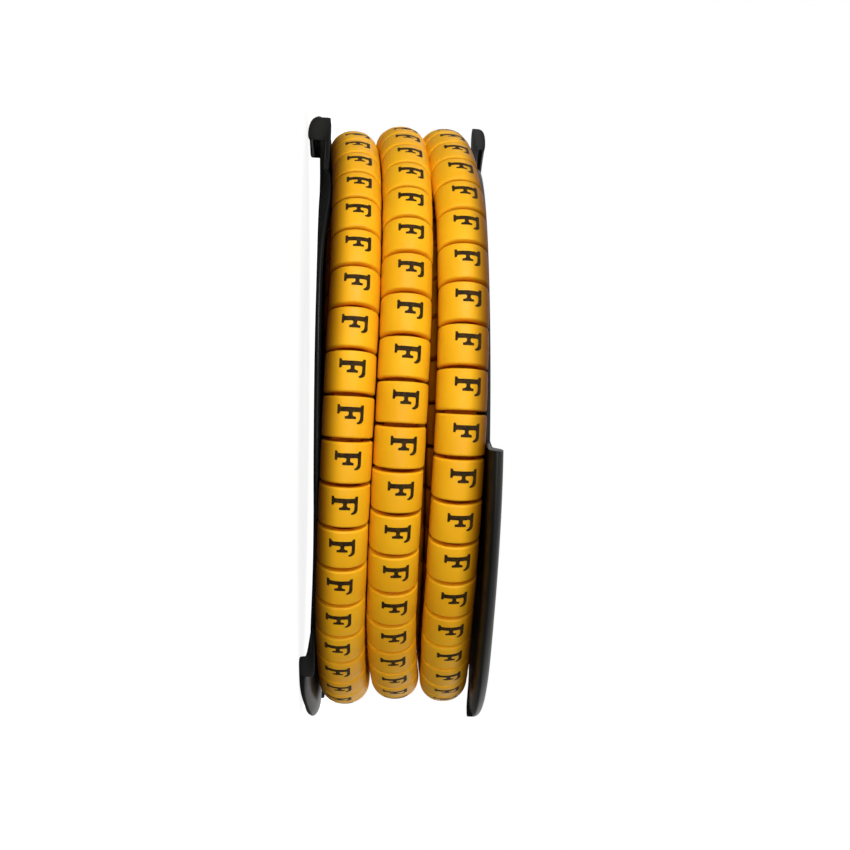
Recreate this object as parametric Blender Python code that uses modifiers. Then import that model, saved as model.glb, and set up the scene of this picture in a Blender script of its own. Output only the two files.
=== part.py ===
"""Reel of cable marker rings, lying on the ears of its lower flange.

One string of soft marker rings is wound three columns wide and four layers
deep on a two-piece plastic reel. The reel's axis is +Z, the lower flange's
ears rest on z = 0, and angles run from -Y, which is zero, towards -X.
"""

import math
from collections import namedtuple

import bmesh
import bpy
from mathutils import Vector

Ear = namedtuple("Ear", "centre span")
Half = namedtuple("Half", "side face tube_radius tube_length reach ears bend")

MM = 0.001

# Driving dimensions in millimetres and degrees.
MARKER_WIDTH = 6.25
MARKER_HEIGHT = 6.0
MARKERS_PER_TURN = 43.69
MARKER_BORE = 3.8
SEAM_OPENING = 0.55
SEAM_CLOSED = 0.14
WEB_WIDTH = 3.8
WEB_HEIGHT = 1.6
COLUMN_GAP = 0.20
COLUMNS = 3
LAYERS = 4
LAYER_GAP = 0.30
TURN_OVERLAP = 0.60
HUB_RADIUS = 13.8
HUB_WALL = 1.5
SPIGOT_LENGTH = 10.0
ROOT_RADIUS = 19.0
FIT_GAP = 0.30
FLANGE_THICKNESS = 0.75
FLANGE_ROOT = 1.05
LOWER_PLAY = 0.20
UPPER_PLAY = 0.60
DISC_DROP = 5.0
EAR_HEIGHT = 2.0
LOWER_EAR_REACH = 2.6
UPPER_EAR_REACH = 2.05
LOWER_EARS = [Ear(centre=91.0, span=28.0), Ear(centre=-78.5, span=49.0)]
UPPER_EARS = [Ear(centre=136.0, span=77.0), Ear(centre=-44.0, span=77.0)]
EAR_END = 1.0
COLUMN_SWAY = 0.8
LAST_COLUMN_SLACK = 0.9
SLACK_LEAN = 15.0
TURN_SHIFTS = [0.15, -0.55, -0.30]
TURN_SLIPS = [0.0, 0.85, 0.6]

# Where the outer layer's string starts and ends, counted from the back (+Y),
# and how wide the stretch is in which it moves over to the next column.
STRING_START = 52.2
CROSSOVER = 90.0
STRING_END = COLUMNS * 360.0 - CROSSOVER / 2

# The sway of the columns fades out towards the back.
SWAY_FULL = 80.0
SWAY_FADE = 35.0

# The thin lower flange leans in at PINCH_ANGLE and out on the other side,
# outside BEND_SHARE of the plain disc's radius.
BEND_SHARE = 0.90
PINCH_ANGLE = 55.0
PINCH_WIDTH = 16.0
PINCH_SHARE = 1.25
BULGE_WIDTH = 22.0
BULGE_SHARE = 0.70

# Shares of a marker's own width and height.
FLAT_SHARE = 0.42
SHOULDER_SHARE = 0.30
GROOVE_SHARE = 0.25
BORE_DEPTH_SHARE = 0.7

# Ear in section, from its foot up over the lip and down into the groove:
# drop from the ear's top as a share of its height over the plain disc, and
# distance outward as a share of the ear's reach.
EAR_PROFILE = [(0.69, 0.07), (0.16, 0.18), (0.0, 0.50), (0.06, 0.86), (0.20, 1.0),
               (0.44, 1.0), (0.46, 0.80), (0.33, 0.70), (0.53, 0.46)]

# Sections round the turned pieces.
REEL_SECTIONS = 60
CORE_SIDES = 60

# Derived sizes.
COLUMN_PITCH = MARKER_WIDTH + COLUMN_GAP
LAYER_PITCH = MARKER_HEIGHT + LAYER_GAP
WINDING_RADIUS = HUB_RADIUS + LAYERS * LAYER_PITCH
CENTRELINE = WINDING_RADIUS - MARKER_HEIGHT / 2
HALF_WINDING = COLUMNS * COLUMN_PITCH / 2
DISC_RADIUS = WINDING_RADIUS - DISC_DROP
BEND_RADIUS = BEND_SHARE * DISC_RADIUS
EAR_RADIUS = WINDING_RADIUS + EAR_HEIGHT
LOWER_FACE = HALF_WINDING + LOWER_PLAY
UPPER_FACE = HALF_WINDING + UPPER_PLAY
MIDDLE = LOWER_FACE + LOWER_EAR_REACH
MARKER_TURN = 360.0 / MARKERS_PER_TURN
RING_COUNT = int((STRING_END - STRING_START) / MARKER_TURN)

YELLOW = (0.86, 0.42, 0.01)
BLACK = (0.012, 0.012, 0.013)


def clear_scene():
    for item in list(bpy.data.objects):
        bpy.data.objects.remove(item, do_unlink=True)


def make_material(name, colour, roughness):
    material = bpy.data.materials.new(name)
    material.use_nodes = True
    shader = material.node_tree.nodes["Principled BSDF"]
    shader.inputs["Base Color"].default_value = (*colour, 1.0)
    shader.inputs["Roughness"].default_value = roughness
    shader.inputs["Metallic"].default_value = 0.0
    return material


def add_object(name, mesh, material, collection):
    part = bpy.data.objects.new(name, mesh)
    part.data.materials.append(material)
    collection.objects.link(part)
    return part


def polar(radius, angle, height):
    """Point at an angle in degrees counted from -Y towards -X."""
    turn = math.radians(angle)
    return Vector((-radius * math.sin(turn), -radius * math.cos(turn), height))


def ease(value):
    value = min(max(value, 0.0), 1.0)
    return value * value * (3.0 - 2.0 * value)


def fold_angle(angle):
    """The same angle within -180 to 180 degrees."""
    return (angle + 180.0) % 360.0 - 180.0


def loft(name, rings, closed):
    """Skin a run of equal rings of points, given in millimetres."""
    mesh = bpy.data.meshes.new(name)
    shape = bmesh.new()
    rows = [[shape.verts.new(point * MM) for point in ring] for ring in rings]
    size = len(rows[0])
    steps = list(zip(rows, rows[1:]))
    if closed:
        steps.append((rows[-1], rows[0]))
    for first, second in steps:
        for k in range(size):
            after = (k + 1) % size
            shape.faces.new((first[k], first[after], second[after], second[k]))
    if not closed:
        shape.faces.new(rows[0][::-1])
        shape.faces.new(rows[-1])
    bmesh.ops.recalc_face_normals(shape, faces=shape.faces)
    shape.to_mesh(mesh)
    shape.free()
    return mesh


def sway(angle):
    """Sideways drift of the columns, which fades out towards the back."""
    angle = fold_angle(angle)
    fade = 1.0 - ease((abs(angle) - SWAY_FULL) / SWAY_FADE)
    return COLUMN_SWAY * math.sin(2.0 * math.radians(angle)) * fade


def string_column(travel):
    """Column of the string after a travel: -1, 0 or 1, or between two of them."""
    column = -(COLUMNS - 1) / 2
    for crossing in range(1, COLUMNS):
        column += ease((travel - crossing * 360.0) / CROSSOVER + 0.5)
    return column


def turn_value(values, column):
    """A value given for each turn, blended where the string changes column."""
    place = column + (COLUMNS - 1) / 2
    turn = min(int(place), COLUMNS - 2)
    return values[turn] + (values[turn + 1] - values[turn]) * (place - turn)


def string_angle(travel):
    """Angle on the reel after a travel: each loose turn has slipped back a little."""
    return travel - 180.0 - turn_value(TURN_SLIPS, string_column(travel))


def string_point(travel, radius):
    """Point on the string, which sways and whose loose turns are not quite centred."""
    column = string_column(travel)
    angle = string_angle(travel)
    lean = max(math.cos(math.radians(angle + SLACK_LEAN)), 0.0)
    slack = LAST_COLUMN_SLACK * lean ** 2 * max(column, 0.0)
    height = MIDDLE + column * COLUMN_PITCH + sway(angle) + slack
    return polar(radius, angle, height) + Vector((turn_value(TURN_SHIFTS, column), 0.0, 0.0))


def string_frame(travel, radius):
    """Centre, outward, sideways and forward directions along the string."""
    step = 0.5
    centre = string_point(travel, radius)
    forward = (string_point(travel + step, radius) - string_point(travel - step, radius)).normalized()
    outward = polar(1.0, string_angle(travel), 0.0)
    sideways = outward.cross(forward).normalized()
    return centre, outward, sideways, forward


def ring_outline(width, height):
    """Section of a marker: round sides with a slightly flat printed face."""
    half_width = width / 2
    half_height = height / 2
    flat = FLAT_SHARE * half_width
    shoulder = SHOULDER_SHARE * half_height
    right = [(flat, half_height), (half_width, shoulder),
             (half_width, -shoulder), (flat, -half_height)]
    return right + [(-side, rise) for side, rise in reversed(right)]


def body_ring(travel, outline, end):
    """One end of a marker: it is shorter inside, where the rings touch."""
    centre, outward, sideways, forward = string_frame(travel, CENTRELINE)
    turn = math.radians(MARKER_TURN)
    inner_length = turn * (CENTRELINE - MARKER_HEIGHT / 2) - SEAM_CLOSED
    outer_length = turn * WINDING_RADIUS - SEAM_OPENING
    points = []
    for side, rise in outline:
        share = rise / MARKER_HEIGHT + 0.5
        reach = end * (inner_length + (outer_length - inner_length) * share) / 2
        points.append(centre + sideways * side + outward * rise + forward * reach)
    return points


def seam_ring(travel, outline):
    """The web that joins two markers on their inner side."""
    centre, outward, sideways, _ = string_frame(travel, CENTRELINE)
    middle = (WEB_HEIGHT - MARKER_HEIGHT) / 2 + SEAM_CLOSED
    squash = WEB_HEIGHT / MARKER_HEIGHT
    narrow = WEB_WIDTH / MARKER_WIDTH
    return [centre + sideways * side * narrow + outward * (middle + rise * squash)
            for side, rise in outline]


def bore_rings(travel, end, depth):
    """The mouth and the floor of the open bore at one end of the string."""
    bore = ring_outline(MARKER_BORE, MARKER_BORE)
    mouth = body_ring(travel, bore, end)
    forward = string_frame(travel, CENTRELINE)[3]
    floor = [point - forward * end * depth for point in mouth]
    return mouth, floor


def core_profile():
    """Closed section of the hidden turns, down the outer side and back."""
    outer = WINDING_RADIUS - MARKER_HEIGHT + TURN_OVERLAP
    inner = HUB_RADIUS + FIT_GAP
    valley = outer - GROOVE_SHARE * MARKER_HEIGHT
    flat = FLAT_SHARE * MARKER_WIDTH / 2
    edge = HALF_WINDING - COLUMN_GAP / 2
    middle = (COLUMNS - 1) / 2
    points = [(inner, edge), (outer - MARKER_HEIGHT / 2, edge)]
    for column in range(COLUMNS):
        height = (middle - column) * COLUMN_PITCH
        if column:
            points.append((valley, height + COLUMN_PITCH / 2))
        points += [(outer, height + flat), (outer, height - flat)]
    points += [(outer - MARKER_HEIGHT / 2, -edge), (inner, -edge)]
    return points


def build_core(name, material, collection):
    """The hidden turns under the outer layer: a turned form with grooves."""
    profile = core_profile()
    mesh = bpy.data.meshes.new(name)
    verts = [(radius * MM, 0.0, (MIDDLE + height) * MM) for radius, height in profile]
    edges = [(k, (k + 1) % len(profile)) for k in range(len(profile))]
    mesh.from_pydata(verts, edges, [])
    core = add_object(name, mesh, material, collection)
    screw = core.modifiers.new("Turn", "SCREW")
    screw.steps = CORE_SIDES
    screw.render_steps = CORE_SIDES
    screw.use_merge_vertices = True
    screw.merge_threshold = 0.00001
    core.hide_render = True
    core.display_type = "WIRE"
    return core


def outer_string():
    """The outer layer: markers with open seams, moving column to column."""
    outline = ring_outline(MARKER_WIDTH, MARKER_HEIGHT)
    depth = BORE_DEPTH_SHARE * math.radians(MARKER_TURN) * CENTRELINE
    first = STRING_START + MARKER_TURN / 2
    last = first + (RING_COUNT - 1) * MARKER_TURN
    mouth, floor = bore_rings(first, -1, depth)
    rings = [floor, mouth]
    for k in range(RING_COUNT):
        travel = first + k * MARKER_TURN
        if k:
            rings.append(seam_ring(travel - MARKER_TURN / 2, outline))
        rings.append(body_ring(travel, outline, -1))
        rings.append(body_ring(travel, outline, 1))
    rings += bore_rings(last, 1, depth)
    return rings


def build_roll(name, material, collection, guides):
    """The whole roll of markers: the outer string joined to the turns below."""
    roll = add_object(name, loft(name, outer_string(), closed=False), material, collection)
    join = roll.modifiers.new("Join", "BOOLEAN")
    join.operation = "UNION"
    join.solver = "EXACT"
    join.object = build_core("hidden_turns", material, guides)
    return roll


def flange_bend(angle):
    """How far the thin lower flange bends inward, where the columns drift."""
    inward = math.exp(-(fold_angle(angle - PINCH_ANGLE) / PINCH_WIDTH) ** 2)
    outward = math.exp(-(fold_angle(angle + PINCH_ANGLE) / BULGE_WIDTH) ** 2)
    return COLUMN_SWAY * (PINCH_SHARE * inward - BULGE_SHARE * outward)


def stiff_flange(angle):
    """The upper flange stays flat."""
    return 0.0


def ear_share(angle, half):
    """One on an ear, zero on the plain disc, with a short ease between."""
    beyond = min(abs(fold_angle(angle - ear.centre)) - ear.span / 2 for ear in half.ears)
    return 1.0 - ease(beyond / EAR_END + 0.5)


def rim_outline():
    """Rounded edge of the plain disc, as radius and distance outward."""
    edge = FLANGE_THICKNESS / 2
    last = len(EAR_PROFILE) - 1
    turns = [math.radians(180.0 * k / last - 90.0) for k in range(last + 1)]
    return [(DISC_RADIUS - edge + edge * math.cos(turn), edge + edge * math.sin(turn)) for turn in turns]


def ear_outline(reach):
    """Ear with a rolled lip that turns back over a narrow groove."""
    height = EAR_RADIUS - DISC_RADIUS
    return [(EAR_RADIUS - drop * height, share * reach) for drop, share in EAR_PROFILE]


def half_section(angle, half):
    """Closed section of a reel half: radius, and distance outward of its inner face."""
    share = ear_share(angle, half)
    bend = half.bend(angle)
    rim = []
    for disc, ear in zip(rim_outline(), ear_outline(half.reach)):
        radius = disc[0] + (ear[0] - disc[0]) * share
        distance = disc[1] + (ear[1] - disc[1]) * share
        rim.append((radius, distance - bend * (1.0 - distance / half.reach)))
    bore = half.tube_radius - HUB_WALL
    inner = [(bore, -half.tube_length), (half.tube_radius, -half.tube_length),
             (half.tube_radius, 0.0), (BEND_RADIUS, 0.0)]
    outer = [(BEND_RADIUS, FLANGE_THICKNESS), (ROOT_RADIUS, FLANGE_ROOT), (bore, FLANGE_ROOT)]
    return inner + rim + outer


def section_angles(half):
    """Angles of the sections round the reel, closer together at ear ends."""
    ends = [ear.centre + side * ear.span / 2 for ear in half.ears for side in (-1, 1)]
    fine = [end + step * EAR_END for end in ends for step in (-0.5, -0.2, 0.2, 0.5)]
    plain = [360.0 * k / REEL_SECTIONS for k in range(REEL_SECTIONS)]
    kept = [angle for angle in plain if all(abs(fold_angle(angle - end)) > EAR_END for end in ends)]
    return sorted(angle % 360.0 for angle in kept + fine)


def build_half(name, half, material, collection):
    """Loft one moulded half of the reel round the axis."""
    rings = []
    for angle in section_angles(half):
        section = half_section(angle, half)
        rings.append([polar(radius, angle, half.face + half.side * distance) for radius, distance in section])
    return add_object(name, loft(name, rings, closed=True), material, collection)


LOWER_HALF = Half(side=-1, face=MIDDLE - LOWER_FACE, tube_radius=HUB_RADIUS,
                  tube_length=LOWER_FACE + UPPER_FACE - FIT_GAP, reach=LOWER_EAR_REACH,
                  ears=LOWER_EARS, bend=flange_bend)
UPPER_HALF = Half(side=1, face=MIDDLE + UPPER_FACE, tube_radius=HUB_RADIUS - HUB_WALL - FIT_GAP,
                  tube_length=SPIGOT_LENGTH, reach=UPPER_EAR_REACH,
                  ears=UPPER_EARS, bend=stiff_flange)


def main():
    clear_scene()
    collection = bpy.data.collections.new("cable_marker_reel")
    guides = bpy.data.collections.new("guides")
    bpy.context.scene.collection.children.link(collection)
    bpy.context.scene.collection.children.link(guides)
    build_half("lower_reel_half", LOWER_HALF, make_material("lower_black", BLACK, 0.3), collection)
    build_half("upper_reel_half", UPPER_HALF, make_material("upper_black", BLACK, 0.3), collection)
    build_roll("marker_roll", make_material("vinyl_yellow", YELLOW, 0.45), collection, guides)


main()
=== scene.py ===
"""Looks of the reel of cable marker rings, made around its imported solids.

Sizes are in millimetres and angles in degrees, unless a name says otherwise.
Angles round the reel run from -Y, which is zero, towards -X. "Travel" is the
same angle counted from the back (+Y), where the outer string starts.
"""

import math
import random
from collections import namedtuple

import bmesh
import bpy
from mathutils import Matrix, Vector


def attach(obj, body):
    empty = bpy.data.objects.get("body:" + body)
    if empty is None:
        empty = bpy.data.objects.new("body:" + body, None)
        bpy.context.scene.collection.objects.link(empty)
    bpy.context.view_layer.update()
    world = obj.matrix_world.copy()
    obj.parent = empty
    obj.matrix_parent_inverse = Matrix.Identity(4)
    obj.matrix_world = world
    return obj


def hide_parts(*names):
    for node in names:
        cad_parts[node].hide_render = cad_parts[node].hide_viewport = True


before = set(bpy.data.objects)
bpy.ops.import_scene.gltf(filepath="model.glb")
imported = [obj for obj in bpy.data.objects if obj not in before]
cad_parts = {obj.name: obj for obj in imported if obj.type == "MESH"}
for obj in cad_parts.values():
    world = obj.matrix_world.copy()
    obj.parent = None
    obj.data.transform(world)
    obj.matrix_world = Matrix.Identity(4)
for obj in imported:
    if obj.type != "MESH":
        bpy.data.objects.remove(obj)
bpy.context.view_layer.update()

Ear = namedtuple("Ear", "centre span")
Half = namedtuple("Half", "side face tube_radius tube_length reach ears bend lean")
Lamp = namedtuple("Lamp", "name place size power mirrored")
Loop = namedtuple("Loop", "points end setback inside")
Noise = namedtuple("Noise", "scale detail bump")
Place = namedtuple("Place", "centre outward sideways forward")

MM = 0.001

# Sizes that are the same in the part's source.
MARKER_WIDTH = 6.25
MARKER_HEIGHT = 6.0
MARKERS_PER_TURN = 43.69
MARKER_BORE = 3.8
SEAM_OPENING = 0.55
SEAM_CLOSED = 0.14
WEB_WIDTH = 3.8
WEB_HEIGHT = 1.6
COLUMN_GAP = 0.20
COLUMNS = 3
LAYERS = 4
LAYER_GAP = 0.30
HUB_RADIUS = 13.8
HUB_WALL = 1.5
SPIGOT_LENGTH = 10.0
ROOT_RADIUS = 19.0
FIT_GAP = 0.30
FLANGE_THICKNESS = 0.75
FLANGE_ROOT = 1.05
LOWER_PLAY = 0.20
UPPER_PLAY = 0.60
DISC_DROP = 5.0
EAR_HEIGHT = 2.0
LOWER_EAR_REACH = 2.6
UPPER_EAR_REACH = 2.05
LOWER_EARS = [Ear(centre=91.0, span=28.0), Ear(centre=-78.5, span=49.0)]
UPPER_EARS = [Ear(centre=136.0, span=77.0), Ear(centre=-44.0, span=77.0)]
EAR_END = 1.0
COLUMN_SWAY = 0.8
LAST_COLUMN_SLACK = 0.9
SLACK_LEAN = 15.0
TURN_SHIFTS = [0.15, -0.55, -0.30]
TURN_SLIPS = [0.0, 0.85, 0.6]
STRING_START = 52.2
CROSSOVER = 90.0
STRING_END = COLUMNS * 360.0 - CROSSOVER / 2
SWAY_FULL = 80.0
SWAY_FADE = 35.0
BEND_SHARE = 0.90
BULGE_WIDTH = 22.0
BULGE_SHARE = 0.70
EAR_PROFILE = [(0.69, 0.07), (0.16, 0.18), (0.0, 0.50), (0.06, 0.86), (0.20, 1.0),
               (0.44, 1.0), (0.46, 0.80), (0.33, 0.70), (0.53, 0.46)]

# Sizes worked out from them.
COLUMN_PITCH = MARKER_WIDTH + COLUMN_GAP
LAYER_PITCH = MARKER_HEIGHT + LAYER_GAP
WINDING_RADIUS = HUB_RADIUS + LAYERS * LAYER_PITCH
CENTRELINE = WINDING_RADIUS - MARKER_HEIGHT / 2
HALF_WINDING = COLUMNS * COLUMN_PITCH / 2
DISC_RADIUS = WINDING_RADIUS - DISC_DROP
BEND_RADIUS = BEND_SHARE * DISC_RADIUS
EAR_RADIUS = WINDING_RADIUS + EAR_HEIGHT
LOWER_FACE = HALF_WINDING + LOWER_PLAY
UPPER_FACE = HALF_WINDING + UPPER_PLAY
MIDDLE = LOWER_FACE + LOWER_EAR_REACH
MARKER_TURN = 360.0 / MARKERS_PER_TURN
RING_COUNT = int((STRING_END - STRING_START) / MARKER_TURN)

# Where each turn has settled sideways, as they lean on each other: at the top
# and the bottom of the photograph, from the lower flange on.
TOP_SETTLING = [0.15, 0.05, -0.50]
BOTTOM_SETTLING = [0.0, 0.30, 0.25]
SETTLING_STARTS = 40.0
SETTLING_ENDS = 100.0
SETTLING_EASE = 35.0

# How the lower flange bends, a little further than in the part's source, and how
# far the ears lean inward at their lips.
PINCH_ANGLE = 61.0
PINCH_WIDTH = 18.0
PINCH_SHARE = 1.45
FAR_PINCH_ANGLE = 124.0
FAR_PINCH_WIDTH = 22.0
FAR_PINCH = 0.85
TOP_EAR_LEAN = 0.40
BOTTOM_EAR_LEAN = 0.60
BOTTOM_LEAN_STARTS = 60.0
BOTTOM_LEAN_EASE = 16.0
UPPER_EAR_LEAN = 0.60
UPPER_LEAN_STARTS = 5.0
UPPER_LEAN_EASE = 45.0

# Fine shape of the markers. Tilt, roll and drift are how far each one may sit
# out of line.
ROUNDNESS = 2.15
OUTLINE_POINTS = 52
RIM_ROUNDING = 0.28
RIM_STEPS = 4
MOUTH_ROUNDING = 0.10
CROWN = 0.03
TILT = 0.5
ROLL = 1.6
DRIFT = 0.04
OUTER_SEED = 7
HIDDEN_SEED = 11
MARKER_SHARP = 40.0
TANGENT_STEP = 0.5

# The letter, in the marker's own directions: "up" is towards the letter's top
# and "across" runs from its stem to its arms.
LETTER_HEIGHT = 3.2
LETTER_LEAD = 1.20
LETTER_SHIFTS = [0.28, 0.40, 0.52]
LETTER_TWISTS = [0.70, 0.20, 0.25]
INK_PROUD = 0.02
INK_DEPTH = 0.05
LETTER_OUTLINE = [
    (0.0, -0.30), (0.28, -0.30), (0.32, -0.12), (0.44, -0.04), (2.74, -0.04), (2.84, -0.12),
    (2.88, -0.28), (3.20, -0.28), (3.20, 1.52), (3.08, 1.80), (2.82, 1.98), (2.46, 2.02),
    (2.40, 1.84), (2.60, 1.72), (2.76, 1.48), (2.80, 1.20), (2.80, 0.68), (2.76, 0.60),
    (2.66, 0.54), (1.98, 0.54), (1.88, 0.62), (1.88, 0.90), (2.02, 1.06), (2.30, 1.12),
    (2.30, 1.42), (0.94, 1.42), (0.94, 1.12), (1.24, 1.06), (1.40, 0.90), (1.40, 0.62),
    (1.30, 0.54), (0.44, 0.54), (0.32, 0.62), (0.28, 0.84), (0.0, 0.84)]
LETTER_STRIPS = 14
STRIP_OFFSET = 0.001

# Tints on the vinyl: red, green, blue and gloss. They are painted light and shade:
# the mouths, bores and webs are painted a deep orange for the light that sinks into
# the seams and comes back, each column's flank gets painted shade from the flange it
# faces, and the turns that the outer string covers get painted shade, which leaves
# them bare only at the back. Each column's flank is the side of it that faces a flange.
TINT_PLAIN = (1.0, 1.0, 1.0, 1.0)
TINT_SEAM_SHADE = (0.85, 0.34, 0.10, 0.1)
TINT_FLANK_SHADE = (0.20, 0.12, 0.06, 0.2)
TINT_COVERED_SHADE = (0.44, 0.26, 0.20, 0.4)
COVERED_SHADE_TO = 100.0
COVERED_SHADE_FADE = 25.0
FLANK_SIDES = [1, 0, -1]
# Where the painted flank shade starts across a column, and how much of it is left at the back.
FLANK_SHADE_START = 0.15
FLANK_SHADE_BEHIND = 0.45

# Hidden turns, seen through the gaps: whole rings of markers in each column.
HIDDEN_MARKERS = 36
HIDDEN_POINTS = 28
HIDDEN_RIM_STEPS = 2
HIDDEN_CENTRELINE = CENTRELINE - LAYER_PITCH
CORE_SIDES = 96
CORE_STEPS = 8

# Reel halves. Over the end of an ear, the wall has risen by one share of the
# way, and its lip starts to curl at another.
REEL_SECTIONS = 240
REEL_SHARP = 60.0
EAR_END_STEPS = 10
SECTION_CLEARANCE = 0.6
RISE_TO = 0.625
CURL_FROM = 0.5
EDGE_ROUNDING = 0.22
EAR_ROUNDING = 0.80
CORNER_REACH = 0.45
CORNER_STEPS = 4

# Colours and finish. Noise scales are per metre, and bumps are in metres.
FULL = (0.0, 1.0)
WHITE = (1.0, 1.0, 1.0, 1.0)
NOISE_MIDDLE = (0.3, 0.7)
VINYL_COLOURS = [(0.87, 0.41, 0.006), (0.92, 0.47, 0.009)]
VINYL_ROUGHNESS = (0.42, 0.56)
VINYL_SPECULAR = (0.0, 0.20)
VINYL_DEPTH = {"Subsurface Weight": 0.12, "Subsurface Radius": (1.0, 0.35, 0.05),
               "Subsurface Scale": 0.0007}
VINYL_BROAD = Noise(scale=110.0, detail=2.0, bump=0.00012)
VINYL_FINE = Noise(scale=1400.0, detail=3.0, bump=0.000012)
INK_COLOURS = [(0.018, 0.010, 0.003), (0.060, 0.030, 0.005)]
INK_ROUGHNESS = (0.55, 0.70)
INK_SPECULAR = 0.08
INK_WEAR = (0.4, 0.75)
INK_FINE = Noise(scale=2200.0, detail=3.0, bump=0.000006)
PLASTIC_COLOURS = [(0.006, 0.006, 0.006), (0.011, 0.011, 0.010)]
PLASTIC_ROUGHNESS = (0.34, 0.46)
PLASTIC_SPECULAR = 0.14
PLASTIC_BROAD = Noise(scale=60.0, detail=3.0, bump=0.00015)
PLASTIC_FINE = Noise(scale=900.0, detail=4.0, bump=0.000008)

# Camera and light, in metres. The camera looks along +Y with +Z to its right.
CAMERA_DISTANCE = 0.312
CAMERA_YAW = 0.0321
CAMERA_ROLL = 0.009
CAMERA_RIGHT = 0.00406
CAMERA_DOWN = 0.00108
CAMERA_LENS = 96.05
CAMERA_CLIP = 0.01
FLOOR_SIZE = 3.0
FLOOR_FINISH = {"Base Color": (0.25, 0.25, 0.25, 1.0), "Roughness": 0.9,
                "Specular IOR Level": 0.1}
FLOOR_GLOW = (0.88, 1.0)
GLOW_DISTANCE = (0.05, 0.25)
WORLD_LIGHT = 0.10
WORLD_SEEN = 1.0
LAMPS = [Lamp("key", (-0.42, -0.44, 0.02), size=0.30, power=4.6, mirrored=True),
         Lamp("front", (0.085, -0.605, 0.02), size=0.30, power=3.0, mirrored=True),
         Lamp("side", (0.55, -0.10, 0.10), size=0.30, power=0.4, mirrored=False),
         Lamp("back", (0.15, 0.60, 0.20), size=0.30, power=3.0, mirrored=False),
         Lamp("top", (0.10, 0.05, 0.70), size=0.50, power=0.4, mirrored=True)]


def polar(radius, angle, height):
    """Point at an angle counted from -Y towards -X."""
    turn = math.radians(angle)
    return Vector((-radius * math.sin(turn), -radius * math.cos(turn), height))


def ease(value):
    value = min(max(value, 0.0), 1.0)
    return value * value * (3.0 - 2.0 * value)


def fold_angle(angle):
    """The same angle within -180 to 180 degrees."""
    return (angle + 180.0) % 360.0 - 180.0


class Skin:
    """Collects points, in millimetres, their tints of painted shade and faces for one mesh."""

    def __init__(self):
        self.verts = []
        self.tints = []
        self.faces = []

    def add_loops(self, loops, closed, tints=None):
        """Skin a run of equal loops of points."""
        first = len(self.verts)
        size = len(loops[0])
        for loop in loops:
            self.verts += [point * MM for point in loop]
        self.tints += tints or [TINT_PLAIN] * (size * len(loops))
        for row in range(len(loops) if closed else len(loops) - 1):
            here = first + row * size
            there = first + (row + 1) % len(loops) * size
            for k in range(size):
                after = (k + 1) % size
                self.faces.append((here + k, here + after, there + after, there + k))
        if not closed:
            last = first + (len(loops) - 1) * size
            self.faces.append(tuple(range(first, first + size))[::-1])
            self.faces.append(tuple(range(last, last + size)))

    def add_mesh(self, points, faces):
        first = len(self.verts)
        self.verts += [point * MM for point in points]
        self.tints += [TINT_PLAIN] * len(points)
        self.faces += [tuple(first + k for k in face) for face in faces]

    def build(self, name, material, sharp=MARKER_SHARP, closed=True):
        """Make the mesh object, smooth apart from edges sharper than an angle."""
        mesh = bpy.data.meshes.new(name)
        mesh.from_pydata(self.verts, [], self.faces)
        shape = bmesh.new()
        shape.from_mesh(mesh)
        if closed:
            bmesh.ops.recalc_face_normals(shape, faces=shape.faces)
        limit = math.radians(sharp)
        for face in shape.faces:
            face.smooth = True
        for edge in shape.edges:
            edge.smooth = len(edge.link_faces) == 2 and edge.calc_face_angle() < limit
        shape.to_mesh(mesh)
        shape.free()
        # Each point's tint, which carries the painted shade, goes on the mesh as an attribute.
        tints = mesh.attributes.new("shade_tint", "FLOAT_COLOR", "POINT")
        tints.data.foreach_set("color", [value for shade_tint in self.tints for value in shade_tint])
        mesh.materials.append(material)
        piece = bpy.data.objects.new(name, mesh)
        bpy.context.scene.collection.objects.link(piece)
        return piece


def dress(piece, node):
    """Show a piece on its body in place of one of the part's solids."""
    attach(piece, "root")
    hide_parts(node)


# The string of markers.

def sway(angle):
    """Sideways drift of the columns, which fades out towards the back."""
    angle = fold_angle(angle)
    fade = 1.0 - ease((abs(angle) - SWAY_FULL) / SWAY_FADE)
    return COLUMN_SWAY * math.sin(2.0 * math.radians(angle)) * fade


def string_column(travel):
    """Column of the string after a travel: -1, 0 or 1, or between two of them."""
    column = -(COLUMNS - 1) / 2
    for crossing in range(1, COLUMNS):
        column += ease((travel - crossing * 360.0) / CROSSOVER + 0.5)
    return column


def turn_value(values, column):
    """A value given for each turn, blended where the string changes column."""
    place = column + (COLUMNS - 1) / 2
    turn = min(int(place), COLUMNS - 2)
    return values[turn] + (values[turn + 1] - values[turn]) * (place - turn)


def string_angle(travel):
    """Angle on the reel after a travel: each loose turn has slipped back a little."""
    return travel - 180.0 - turn_value(TURN_SLIPS, string_column(travel))


def settling(angle, column):
    """Sideways shift of a turn near the top and the bottom of the photograph."""
    angle = fold_angle(angle)
    share = ease((abs(angle) - SETTLING_STARTS) / SETTLING_EASE)
    share -= ease((abs(angle) - SETTLING_ENDS) / SETTLING_EASE)
    return share * turn_value(TOP_SETTLING if angle > 0.0 else BOTTOM_SETTLING, column)


def string_point(travel, radius):
    """Point on the string, which sways and whose loose turns are not quite centred."""
    column = string_column(travel)
    angle = string_angle(travel)
    lean = max(math.cos(math.radians(angle + SLACK_LEAN)), 0.0)
    slack = LAST_COLUMN_SLACK * lean ** 2 * max(column, 0.0)
    height = MIDDLE + column * COLUMN_PITCH + sway(angle) + slack + settling(angle, column)
    return polar(radius, angle, height) + Vector((turn_value(TURN_SHIFTS, column), 0.0, 0.0))


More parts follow.
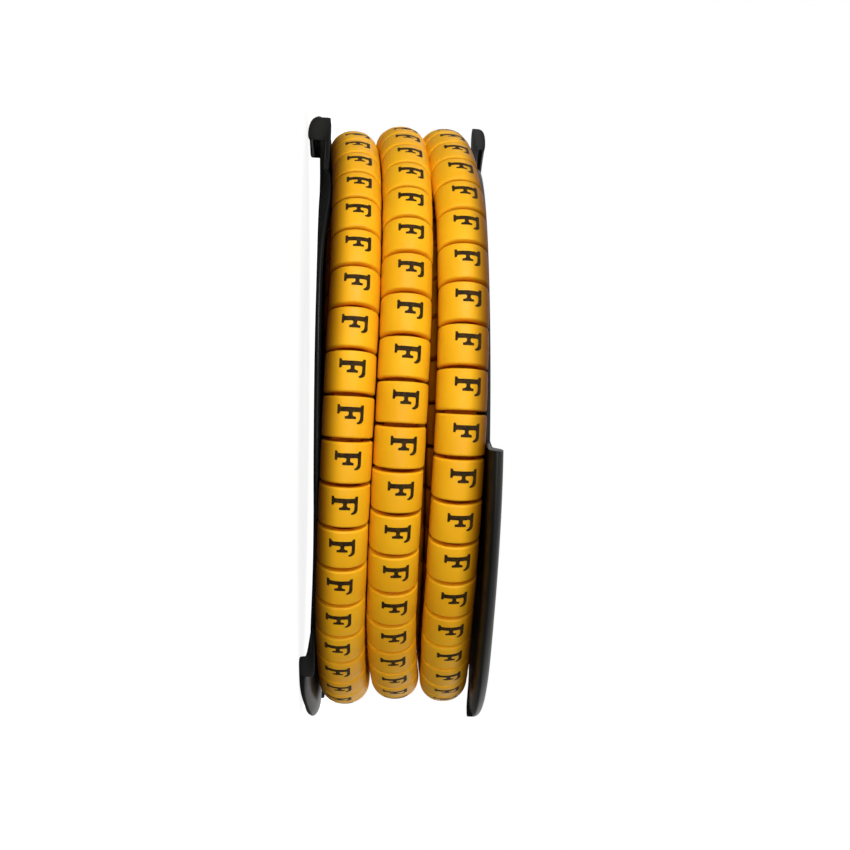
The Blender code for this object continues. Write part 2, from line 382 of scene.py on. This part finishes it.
def string_place(travel, radius):
    """Centre and directions of a marker along the outer string."""
    centre = string_point(travel, radius)
    ahead = string_point(travel + TANGENT_STEP, radius)
    behind = string_point(travel - TANGENT_STEP, radius)
    forward = (ahead - behind).normalized()
    outward = polar(1.0, string_angle(travel), 0.0)
    return Place(centre, outward, outward.cross(forward).normalized(), forward)


def hidden_place(angle, column):
    """Centre and directions of a marker in the turns under the outer layer."""
    centre = polar(HIDDEN_CENTRELINE, angle, MIDDLE + column * COLUMN_PITCH)
    outward = polar(1.0, angle, 0.0)
    forward = polar(1.0, angle + 90.0, 0.0)
    return Place(centre, outward, outward.cross(forward).normalized(), forward)


def nudged(place, chance):
    """The same place slightly out of line, as soft rings sit on a string."""
    tilt = Matrix.Rotation(math.radians(chance.uniform(-TILT, TILT)), 3, place.outward)
    roll = Matrix.Rotation(math.radians(chance.uniform(-ROLL, ROLL)), 3, place.forward)
    turn = tilt @ roll
    drift = place.sideways * chance.uniform(-DRIFT, DRIFT)
    directions = (turn @ way for way in (place.outward, place.sideways, place.forward))
    return Place(place.centre + drift, *directions)


def spot(place, side, rise, ahead):
    """Point given in a marker's own directions."""
    return place.centre + place.sideways * side + place.outward * rise + place.forward * ahead


def outline(width, height, inset, count):
    """Round section with slightly flat sides, drawn in by an inset."""
    half_width = width / 2 - inset
    half_height = height / 2 - inset
    points = []
    for k in range(count):
        turn = 2.0 * math.pi * (k + 0.5) / count
        across, up = math.cos(turn), math.sin(turn)
        side = math.copysign(abs(across) ** (2.0 / ROUNDNESS), across) * half_width
        rise = math.copysign(abs(up) ** (2.0 / ROUNDNESS), up) * half_height
        points.append((side, rise))
    return points


def surface_rise(side):
    """Height of a marker's outer surface over its centreline, at a side offset."""
    share = min(abs(side) / (MARKER_WIDTH / 2), 1.0)
    return MARKER_HEIGHT / 2 * (1.0 - share ** ROUNDNESS) ** (1.0 / ROUNDNESS)


def half_length(rise, centreline, turn):
    """Half of a marker's length: it is shorter inside, where the rings touch."""
    radians = math.radians(turn)
    inner = radians * (centreline - MARKER_HEIGHT / 2) - SEAM_CLOSED
    outer = radians * (centreline + MARKER_HEIGHT / 2) - SEAM_OPENING
    return (inner + (outer - inner) * (rise / MARKER_HEIGHT + 0.5)) / 2


def end_loops(end, rim_steps, count):
    """Loops over one end of a marker, from the outer wall into the bore."""
    loops = []
    for k in range(rim_steps + 1):
        turn = math.radians(90.0 * k / rim_steps)
        inset = RIM_ROUNDING * (1.0 - math.cos(turn))
        setback = RIM_ROUNDING * (1.0 - math.sin(turn))
        loops.append(Loop(outline(MARKER_WIDTH, MARKER_HEIGHT, inset, count), end, setback, False))
    mouth = outline(MARKER_BORE, MARKER_BORE, -MOUTH_ROUNDING, count)
    bore = outline(MARKER_BORE, MARKER_BORE, 0.0, count)
    return loops + [Loop(mouth, end, 0.0, True), Loop(bore, end, MOUTH_ROUNDING, True)]


def marker_loops(rim_steps, count):
    """All loops of a marker: middle, one end, bore, other end, and back."""
    middle = Loop(outline(MARKER_WIDTH, MARKER_HEIGHT, -CROWN, count), 0, 0.0, False)
    return [middle] + end_loops(1, rim_steps, count) + end_loops(-1, rim_steps, count)[::-1]


def blend_shade(dark, share):
    """A painted shade tint, part of the way from plain."""
    return tuple(a + (b - a) * share for a, b in zip(TINT_PLAIN, dark))


def covered_shade_share(angle):
    """How much the outer string covers the turns under it, which sets how much painted shade they
    get.
    """
    return 1.0 - ease((abs(fold_angle(angle)) - COVERED_SHADE_TO) / COVERED_SHADE_FADE)


def flank_shade(side, column, angle):
    """Painted shade on a ring's outer wall where it faces a flange: less at the back."""
    flank = FLANK_SIDES[column] * side / (MARKER_WIDTH / 2)
    share = ease((flank - FLANK_SHADE_START) / (1.0 - FLANK_SHADE_START))
    share *= FLANK_SHADE_BEHIND + (1.0 - FLANK_SHADE_BEHIND) * covered_shade_share(angle)
    return blend_shade(TINT_FLANK_SHADE, share)


def hidden_shade(side, column, angle):
    """The same painted flank shade, times the painted shade on the turns that the outer string
    covers.
    """
    cover_shade = blend_shade(TINT_COVERED_SHADE, covered_shade_share(angle))
    return tuple(a * b for a, b in zip(cover_shade, flank_shade(side, column, angle)))


def add_marker(skin, place, loops, centreline, turn, wall_shade):
    """Add a ring, its mouths and bore painted in the deep orange of seam shade.
    The painted shade of its outer wall is given for each side offset.
    """
    placed, tints = [], []
    for loop in loops:
        placed.append([])
        for side, rise in loop.points:
            ahead = loop.end * (half_length(rise, centreline, turn) - loop.setback)
            placed[-1].append(spot(place, side, rise, ahead))
            tints.append(TINT_SEAM_SHADE if loop.inside else wall_shade(side))
    skin.add_loops(placed, closed=True, tints=tints)


def add_web(skin, travel):
    """The thin web that joins two markers on their inner side, painted in the deep orange of seam
    shade.
    """
    place = string_place(travel, CENTRELINE)
    low = -MARKER_HEIGHT / 2 + SEAM_CLOSED
    corners = [(-WEB_WIDTH / 2, low), (WEB_WIDTH / 2, low),
               (WEB_WIDTH / 2, low + WEB_HEIGHT), (-WEB_WIDTH / 2, low + WEB_HEIGHT)]
    loops = [[spot(place, side, rise, ahead) for side, rise in corners]
             for ahead in (-SEAM_OPENING, SEAM_OPENING)]
    skin.add_loops(loops, closed=False, tints=[TINT_SEAM_SHADE] * (len(corners) * len(loops)))


def marker_travel(k):
    return STRING_START + MARKER_TURN * (k + 0.5)


def turn_of(travel):
    """Which of the columns a marker belongs to, counted from the lower flange."""
    return min(int(travel / 360.0), COLUMNS - 1)


# The printed letter.

def letter_mesh():
    """The letter as flat triangles cut into strips, with its directed rim edges."""
    shape = bmesh.new()
    verts = [shape.verts.new((up, across, 0.0)) for up, across in LETTER_OUTLINE]
    face = shape.faces.new(verts)
    face.normal_update()
    bmesh.ops.triangulate(shape, faces=[face])
    for k in range(1, LETTER_STRIPS):
        cut = LETTER_HEIGHT * k / LETTER_STRIPS + STRIP_OFFSET
        geometry = shape.verts[:] + shape.edges[:] + shape.faces[:]
        bmesh.ops.bisect_plane(shape, geom=geometry, plane_co=(cut, 0.0, 0.0),
                               plane_no=(1.0, 0.0, 0.0))
    shape.verts.index_update()
    points = [(vert.co.x, vert.co.y) for vert in shape.verts]
    faces = [[vert.index for vert in face.verts] for face in shape.faces]
    rim = []
    for face in shape.faces:
        for loop in face.loops:
            if loop.edge.is_boundary:
                rim.append((loop.vert.index, loop.link_loop_next.vert.index))
    shape.free()
    return points, faces, rim


def letter_shift(turn, angle):
    """Where the letter sits on its ring, as the string twists below the middle."""
    return LETTER_SHIFTS[turn] - LETTER_TWISTS[turn] * max(-math.sin(math.radians(angle)), 0.0)


def add_letter(skin, place, letter, shift):
    """Lay the letter on a marker's outer face, a hair proud of the vinyl."""
    points, faces, rim = letter
    tops, feet = [], []
    for up, across in points:
        side = LETTER_HEIGHT / 2 - up - shift
        rise = surface_rise(side)
        ahead = LETTER_LEAD - across
        tops.append(spot(place, side, rise + CROWN + INK_PROUD, ahead))
        feet.append(spot(place, side, rise - INK_DEPTH, ahead))
    size = len(points)
    walls = [(a, b, b + size, a + size)[::-1] for a, b in rim]
    skin.add_mesh(tops + feet, [tuple(face) for face in faces] + walls)


def build_outer_string(vinyl, ink):
    """The outer layer, one piece for each column, with its letters apart."""
    chance = random.Random(OUTER_SEED)
    loops = marker_loops(RIM_STEPS, OUTLINE_POINTS)
    letter = letter_mesh()
    rings = [Skin() for _ in range(COLUMNS)]
    prints = [Skin() for _ in range(COLUMNS)]
    for k in range(RING_COUNT):
        travel = marker_travel(k)
        turn = turn_of(travel)
        angle = string_angle(travel)
        place = nudged(string_place(travel, CENTRELINE), chance)
        add_marker(rings[turn], place, loops, CENTRELINE, MARKER_TURN,
                   lambda side: flank_shade(side, turn, angle))
        add_letter(prints[turn], place, letter, letter_shift(turn, angle))
        if k:
            add_web(rings[turn], travel - MARKER_TURN / 2)
    for turn in range(COLUMNS):
        dress(rings[turn].build(f"marker_turn_{turn + 1}", vinyl), "marker_roll")
        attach(prints[turn].build(f"letters_turn_{turn + 1}", ink, closed=False), "root")


def build_hidden_turns(vinyl, ink):
    """The columns under the outer layer, which show through the gaps."""
    chance = random.Random(HIDDEN_SEED)
    loops = marker_loops(HIDDEN_RIM_STEPS, HIDDEN_POINTS)
    letter = letter_mesh()
    turn = 360.0 / HIDDEN_MARKERS
    rings, prints = Skin(), Skin()
    for column in range(COLUMNS):
        level = column - (COLUMNS - 1) / 2
        start = chance.uniform(0.0, turn)
        for k in range(HIDDEN_MARKERS):
            angle = start + k * turn
            place = nudged(hidden_place(angle, level), chance)
            add_marker(rings, place, loops, HIDDEN_CENTRELINE, turn,
                       lambda side: hidden_shade(side, column, angle))
            add_letter(prints, place, letter, letter_shift(column, angle))
    dress(rings.build("marker_turns_hidden", vinyl), "marker_roll")
    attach(prints.build("letters_hidden", ink, closed=False), "root")


def build_core(vinyl):
    """The two deepest layers, as a grooved ring that only shows in gaps, painted all over with the
    shade of the covered turns.
    """
    outer = HIDDEN_CENTRELINE - MARKER_HEIGHT / 2 - LAYER_GAP
    inner = HUB_RADIUS + FIT_GAP
    edge = HALF_WINDING - COLUMN_GAP / 2
    profile = [(inner, -edge), (inner, edge)]
    for column in range(COLUMNS):
        level = ((COLUMNS - 1) / 2 - column) * COLUMN_PITCH
        for k in range(CORE_STEPS + 1):
            side = MARKER_WIDTH / 2 * (1.0 - 2.0 * k / CORE_STEPS)
            rise = surface_rise(side) - MARKER_HEIGHT / 2
            profile.append((outer + rise, level + side))
    skin = Skin()
    loops = []
    for k in range(CORE_SIDES):
        angle = 360.0 * k / CORE_SIDES
        loops.append([polar(radius, angle, MIDDLE + height) for radius, height in profile])
    skin.add_loops(loops, closed=True, tints=[TINT_COVERED_SHADE] * (len(profile) * CORE_SIDES))
    dress(skin.build("marker_turns_core", vinyl), "marker_roll")


# The two halves of the reel.

def flange_bend(angle):
    """How far the thin lower flange bends inward, where the columns drift."""
    inward = math.exp(-(fold_angle(angle - PINCH_ANGLE) / PINCH_WIDTH) ** 2)
    outward = math.exp(-(fold_angle(angle + PINCH_ANGLE) / BULGE_WIDTH) ** 2)
    far = FAR_PINCH * math.exp(-(fold_angle(angle - FAR_PINCH_ANGLE) / FAR_PINCH_WIDTH) ** 2)
    return COLUMN_SWAY * (PINCH_SHARE * inward - BULGE_SHARE * outward) + far


def stiff_flange(angle):
    """The upper flange stays flat."""
    return 0.0


def lower_lean(angle):
    """How far the lower ears lean inward at their lip."""
    below = -fold_angle(angle)
    if below < 0.0:
        return TOP_EAR_LEAN
    return BOTTOM_EAR_LEAN * ease((below - BOTTOM_LEAN_STARTS) / BOTTOM_LEAN_EASE)


def upper_lean(angle):
    """How far the upper ear at the photograph's bottom leans inward."""
    return UPPER_EAR_LEAN * ease((-fold_angle(angle) - UPPER_LEAN_STARTS) / UPPER_LEAN_EASE)


LOWER_HALF = Half(side=-1, face=MIDDLE - LOWER_FACE, tube_radius=HUB_RADIUS,
                  tube_length=LOWER_FACE + UPPER_FACE - FIT_GAP, reach=LOWER_EAR_REACH,
                  ears=LOWER_EARS, bend=flange_bend, lean=lower_lean)
UPPER_HALF = Half(side=1, face=MIDDLE + UPPER_FACE, tube_radius=HUB_RADIUS - HUB_WALL - FIT_GAP,
                  tube_length=SPIGOT_LENGTH, reach=UPPER_EAR_REACH,
                  ears=UPPER_EARS, bend=stiff_flange, lean=upper_lean)


def ear_shares(angle, half):
    """From zero on the plain disc to one on an ear, in radius and in distance
    outward: at an ear's end the wall rises first, and then its lip curls out."""
    beyond = min(abs(fold_angle(angle - ear.centre)) - ear.span / 2 for ear in half.ears)
    way = 0.5 - beyond / EAR_END
    return ease(way / RISE_TO), ease((way - CURL_FROM) / (1.0 - CURL_FROM))


def rim_outline():
    """Rounded edge of the plain disc, as radius and distance outward."""
    edge = FLANGE_THICKNESS / 2
    last = len(EAR_PROFILE) - 1
    turns = [math.radians(180.0 * k / last - 90.0) for k in range(last + 1)]
    return [(DISC_RADIUS - edge + edge * math.cos(turn), edge + edge * math.sin(turn))
            for turn in turns]


def ear_outline(reach):
    """Ear with a rolled lip that turns back over a narrow groove."""
    height = EAR_RADIUS - DISC_RADIUS
    return [(EAR_RADIUS - drop * height, share * reach) for drop, share in EAR_PROFILE]


def half_section(angle, half):
    """Closed section of a reel half: radius, distance outward of its inner face,
    and how far the corner there is rounded. The bend leaves a lip's outer edge
    where it is, and the lean grows from the disc to the top of an ear."""
    rise, curl = ear_shares(angle, half)
    bend = half.bend(angle)
    rounding = EDGE_ROUNDING + (EAR_ROUNDING - EDGE_ROUNDING) * rise
    rim = []
    for disc, ear in zip(rim_outline(), ear_outline(half.reach)):
        radius = disc[0] + (ear[0] - disc[0]) * rise
        distance = disc[1] + (ear[1] - disc[1]) * curl
        inward = bend * (1.0 - (distance / half.reach) ** 2)
        inward += half.lean(angle) * max(radius - DISC_RADIUS, 0.0) / (EAR_RADIUS - DISC_RADIUS)
        rim.append((radius, distance - inward, rounding))
    bore = half.tube_radius - HUB_WALL
    inner = [(bore, -half.tube_length), (half.tube_radius, -half.tube_length),
             (half.tube_radius, 0.0), (BEND_RADIUS, 0.0)]
    outer = [(BEND_RADIUS, FLANGE_THICKNESS), (ROOT_RADIUS, FLANGE_ROOT), (bore, FLANGE_ROOT)]
    inner, outer = ([(*corner, EDGE_ROUNDING) for corner in side] for side in (inner, outer))
    return inner + rim + outer


def rounded(section):
    """The same closed section with each corner turned into a short curve."""
    points = [Vector((radius, distance)) for radius, distance, rounding in section]
    curves = []
    for k, corner in enumerate(points):
        rounding = section[k][2]
        before = points[k - 1] - corner
        after = points[(k + 1) % len(points)] - corner
        start = corner + before * min(rounding / before.length, CORNER_REACH)
        end = corner + after * min(rounding / after.length, CORNER_REACH)
        for step in range(CORNER_STEPS):
            t = step / (CORNER_STEPS - 1)
            curves.append(start * (1 - t) ** 2 + corner * 2 * t * (1 - t) + end * t * t)
    return curves


def section_angles(half):
    """Angles of the sections round the reel, closer together at ear ends."""
    ends = [ear.centre + side * ear.span / 2 for ear in half.ears for side in (-1, 1)]
    fine = [end + EAR_END * (k / EAR_END_STEPS - 0.5)
            for end in ends for k in range(EAR_END_STEPS + 1)]
    plain = [360.0 * k / REEL_SECTIONS for k in range(REEL_SECTIONS)]
    clear = EAR_END * SECTION_CLEARANCE
    kept = [angle for angle in plain if all(abs(fold_angle(angle - end)) > clear for end in ends)]
    return sorted(angle % 360.0 for angle in kept + fine)


def build_half(name, half, plastic):
    """Loft one moulded half of the reel round the axis."""
    loops = []
    for angle in section_angles(half):
        section = rounded(half_section(angle, half))
        loops.append([polar(point.x, angle, half.face + half.side * point.y) for point in section])
    skin = Skin()
    skin.add_loops(loops, closed=True)
    dress(skin.build(name, plastic, sharp=REEL_SHARP), f"{name}_half")


# Materials.

def set_inputs(node, values):
    """Set a node's inputs by their names."""
    for name, value in values.items():
        node.inputs[name].default_value = value


def new_material(name, values):
    """A material with its tree and its main shader, with some inputs set."""
    material = bpy.data.materials.new(name)
    material.use_nodes = True
    tree = material.node_tree
    shader = tree.nodes["Principled BSDF"]
    set_inputs(shader, values)
    return material, tree, shader


def add_noise(tree, noise):
    """Noise in the object's own coordinates."""
    coordinates = tree.nodes.new("ShaderNodeTexCoord")
    texture = tree.nodes.new("ShaderNodeTexNoise")
    set_inputs(texture, {"Scale": noise.scale, "Detail": noise.detail})
    tree.links.new(coordinates.outputs["Object"], texture.inputs["Vector"])
    return texture.outputs["Fac"]


def add_range(tree, value, span, over=NOISE_MIDDLE):
    """Spread a value that runs over one range to another."""
    spread = tree.nodes.new("ShaderNodeMapRange")
    set_inputs(spread, {"From Min": over[0], "From Max": over[1],
                        "To Min": span[0], "To Max": span[1]})
    tree.links.new(value, spread.inputs["Value"])
    return spread.outputs["Result"]


def add_mix(tree, share, colours):
    """Blend two colours by a share."""
    mix = tree.nodes.new("ShaderNodeMix")
    mix.data_type = "RGBA"
    tree.links.new(share, mix.inputs["Factor"])
    for name, colour in zip("AB", colours):
        socket = next(item for item in mix.inputs if item.name == name and item.type == "RGBA")
        socket.default_value = (*colour, 1.0)
    return next(item for item in mix.outputs if item.type == "RGBA")


def add_maths(tree, operation, first, second):
    """Combine two values."""
    maths = tree.nodes.new("ShaderNodeMath")
    maths.operation = operation
    tree.links.new(first, maths.inputs[0])
    tree.links.new(second, maths.inputs[1])
    return maths.outputs["Value"]


def add_bump(tree, shader, heights):
    """Chain bumps of given heights in metres onto a shader's normal."""
    normal = None
    for value, distance in heights:
        bump = tree.nodes.new("ShaderNodeBump")
        bump.inputs["Distance"].default_value = distance
        tree.links.new(value, bump.inputs["Height"])
        if normal:
            tree.links.new(normal, bump.inputs["Normal"])
        normal = bump.outputs["Normal"]
    tree.links.new(normal, shader.inputs["Normal"])


def make_vinyl():
    """Soft orange-yellow vinyl: satin, slightly uneven, a little translucent."""
    material, tree, shader = new_material("vinyl_yellow", VINYL_DEPTH)
    broad = add_noise(tree, VINYL_BROAD)
    fine = add_noise(tree, VINYL_FINE)
    colour = add_mix(tree, add_range(tree, broad, FULL), VINYL_COLOURS)
    # The per-point tint attribute multiplies painted shade into the colour, and its alpha lowers
    # the gloss where shade is painted.
    shade_tint = tree.nodes.new("ShaderNodeAttribute")
    shade_tint.attribute_name = "shade_tint"
    tinted = tree.nodes.new("ShaderNodeVectorMath")
    tinted.operation = "MULTIPLY"
    tree.links.new(colour, tinted.inputs[0])
    tree.links.new(shade_tint.outputs["Color"], tinted.inputs[1])
    tree.links.new(tinted.outputs["Vector"], shader.inputs["Base Color"])
    tree.links.new(add_range(tree, fine, VINYL_ROUGHNESS), shader.inputs["Roughness"])
    specular = add_range(tree, shade_tint.outputs["Alpha"], VINYL_SPECULAR, over=FULL)
    tree.links.new(specular, shader.inputs["Specular IOR Level"])
    add_bump(tree, shader, [(broad, VINYL_BROAD.bump), (fine, VINYL_FINE.bump)])
    return material


def make_ink():
    """Black-brown print, thin enough that the vinyl warms it in places."""
    material, tree, shader = new_material("ink_black", {"Specular IOR Level": INK_SPECULAR})
    fine = add_noise(tree, INK_FINE)
    colour = add_mix(tree, add_range(tree, fine, FULL, over=INK_WEAR), INK_COLOURS)
    tree.links.new(colour, shader.inputs["Base Color"])
    tree.links.new(add_range(tree, fine, INK_ROUGHNESS), shader.inputs["Roughness"])
    add_bump(tree, shader, [(fine, INK_FINE.bump)])
    return material


def make_plastic():
    """Black moulded plastic with a soft gloss and faint handling marks."""
    values = {"Specular IOR Level": PLASTIC_SPECULAR}
    material, tree, shader = new_material("plastic_black", values)
    broad = add_noise(tree, PLASTIC_BROAD)
    fine = add_noise(tree, PLASTIC_FINE)
    colour = add_mix(tree, add_range(tree, broad, FULL), PLASTIC_COLOURS)
    tree.links.new(colour, shader.inputs["Base Color"])
    tree.links.new(add_range(tree, broad, PLASTIC_ROUGHNESS), shader.inputs["Roughness"])
    add_bump(tree, shader, [(broad, PLASTIC_BROAD.bump), (fine, PLASTIC_FINE.bump)])
    return material


# Floor, light and camera.

def build_floor():
    """Plain floor. What the camera sees of it is lifted to white, and a little less
    near the reel, whose shadow stays."""
    mesh = bpy.data.meshes.new("floor")
    half = FLOOR_SIZE / 2
    corners = [(-half, -half, 0.0), (half, -half, 0.0), (half, half, 0.0), (-half, half, 0.0)]
    mesh.from_pydata(corners, [], [(0, 1, 2, 3)])
    floor = bpy.data.objects.new("floor", mesh)
    bpy.context.scene.collection.objects.link(floor)
    material, tree, shader = new_material("floor_white", FLOOR_FINISH)
    path = tree.nodes.new("ShaderNodeLightPath")
    place = tree.nodes.new("ShaderNodeTexCoord")
    distance = tree.nodes.new("ShaderNodeVectorMath")
    distance.operation = "LENGTH"
    tree.links.new(place.outputs["Object"], distance.inputs[0])
    level = add_range(tree, distance.outputs["Value"], FLOOR_GLOW, over=GLOW_DISTANCE)
    glow = tree.nodes.new("ShaderNodeEmission")
    strength = add_maths(tree, "MULTIPLY", path.outputs["Is Camera Ray"], level)
    tree.links.new(strength, glow.inputs["Strength"])
    lifted = tree.nodes.new("ShaderNodeAddShader")
    tree.links.new(shader.outputs["BSDF"], lifted.inputs[0])
    tree.links.new(glow.outputs["Emission"], lifted.inputs[1])
    tree.links.new(lifted.outputs["Shader"], tree.nodes["Material Output"].inputs["Surface"])
    floor.data.materials.append(material)


def set_world():
    """White for what sees it directly or in a reflection, softer as light."""
    world = bpy.data.worlds.new("studio")
    bpy.context.scene.world = world
    world.use_nodes = True
    tree = world.node_tree
    light = tree.nodes["Background"]
    seen = tree.nodes.new("ShaderNodeBackground")
    set_inputs(light, {"Color": WHITE, "Strength": WORLD_LIGHT})
    set_inputs(seen, {"Color": WHITE, "Strength": WORLD_SEEN})
    rays = tree.nodes.new("ShaderNodeLightPath").outputs
    direct = add_maths(tree, "MAXIMUM", rays["Is Camera Ray"], rays["Is Glossy Ray"])
    share = add_maths(tree, "MAXIMUM", direct, rays["Is Transmission Ray"])
    mix = tree.nodes.new("ShaderNodeMixShader")
    tree.links.new(share, mix.inputs["Fac"])
    tree.links.new(light.outputs["Background"], mix.inputs[1])
    tree.links.new(seen.outputs["Background"], mix.inputs[2])
    tree.links.new(mix.outputs["Shader"], tree.nodes["World Output"].inputs["Surface"])


def add_lamp(lamp):
    """A square soft lamp that looks at the middle of the reel."""
    data = bpy.data.lights.new(lamp.name, "AREA")
    data.size = lamp.size
    data.energy = lamp.power
    light = bpy.data.objects.new(lamp.name, data)
    light.location = lamp.place
    light.visible_glossy = lamp.mirrored
    aim = Vector((0.0, 0.0, MIDDLE * MM)) - Vector(lamp.place)
    light.rotation_euler = aim.to_track_quat("-Z", "Y").to_euler()
    bpy.context.scene.collection.objects.link(light)


def add_camera():
    """The photograph's view: image-right is +Z and image-up is -X."""
    right = Vector((0.0, -math.sin(CAMERA_YAW), math.cos(CAMERA_YAW)))
    up = Vector((-1.0, 0.0, 0.0))
    back = right.cross(up)
    aim = Vector((0.0, 0.0, MIDDLE * MM)) + right * CAMERA_RIGHT - up * CAMERA_DOWN
    data = bpy.data.cameras.new("camera")
    data.lens = CAMERA_LENS
    data.clip_start = CAMERA_CLIP
    camera = bpy.data.objects.new("camera", data)
    turn = Matrix((right, up, back)).transposed().to_4x4()
    turn = turn @ Matrix.Rotation(CAMERA_ROLL, 4, "Z")
    camera.matrix_world = Matrix.Translation(aim + back * CAMERA_DISTANCE) @ turn
    bpy.context.scene.collection.objects.link(camera)
    bpy.context.scene.camera = camera


def main():
    vinyl = make_vinyl()
    ink = make_ink()
    plastic = make_plastic()
    build_outer_string(vinyl, ink)
    build_hidden_turns(vinyl, ink)
    build_core(vinyl)
    build_half("lower_reel", LOWER_HALF, plastic)
    build_half("upper_reel", UPPER_HALF, plastic)
    build_floor()
    set_world()
    for lamp in LAMPS:
        add_lamp(lamp)
    add_camera()
    bpy.context.scene.view_settings.view_transform = "Standard"


main()
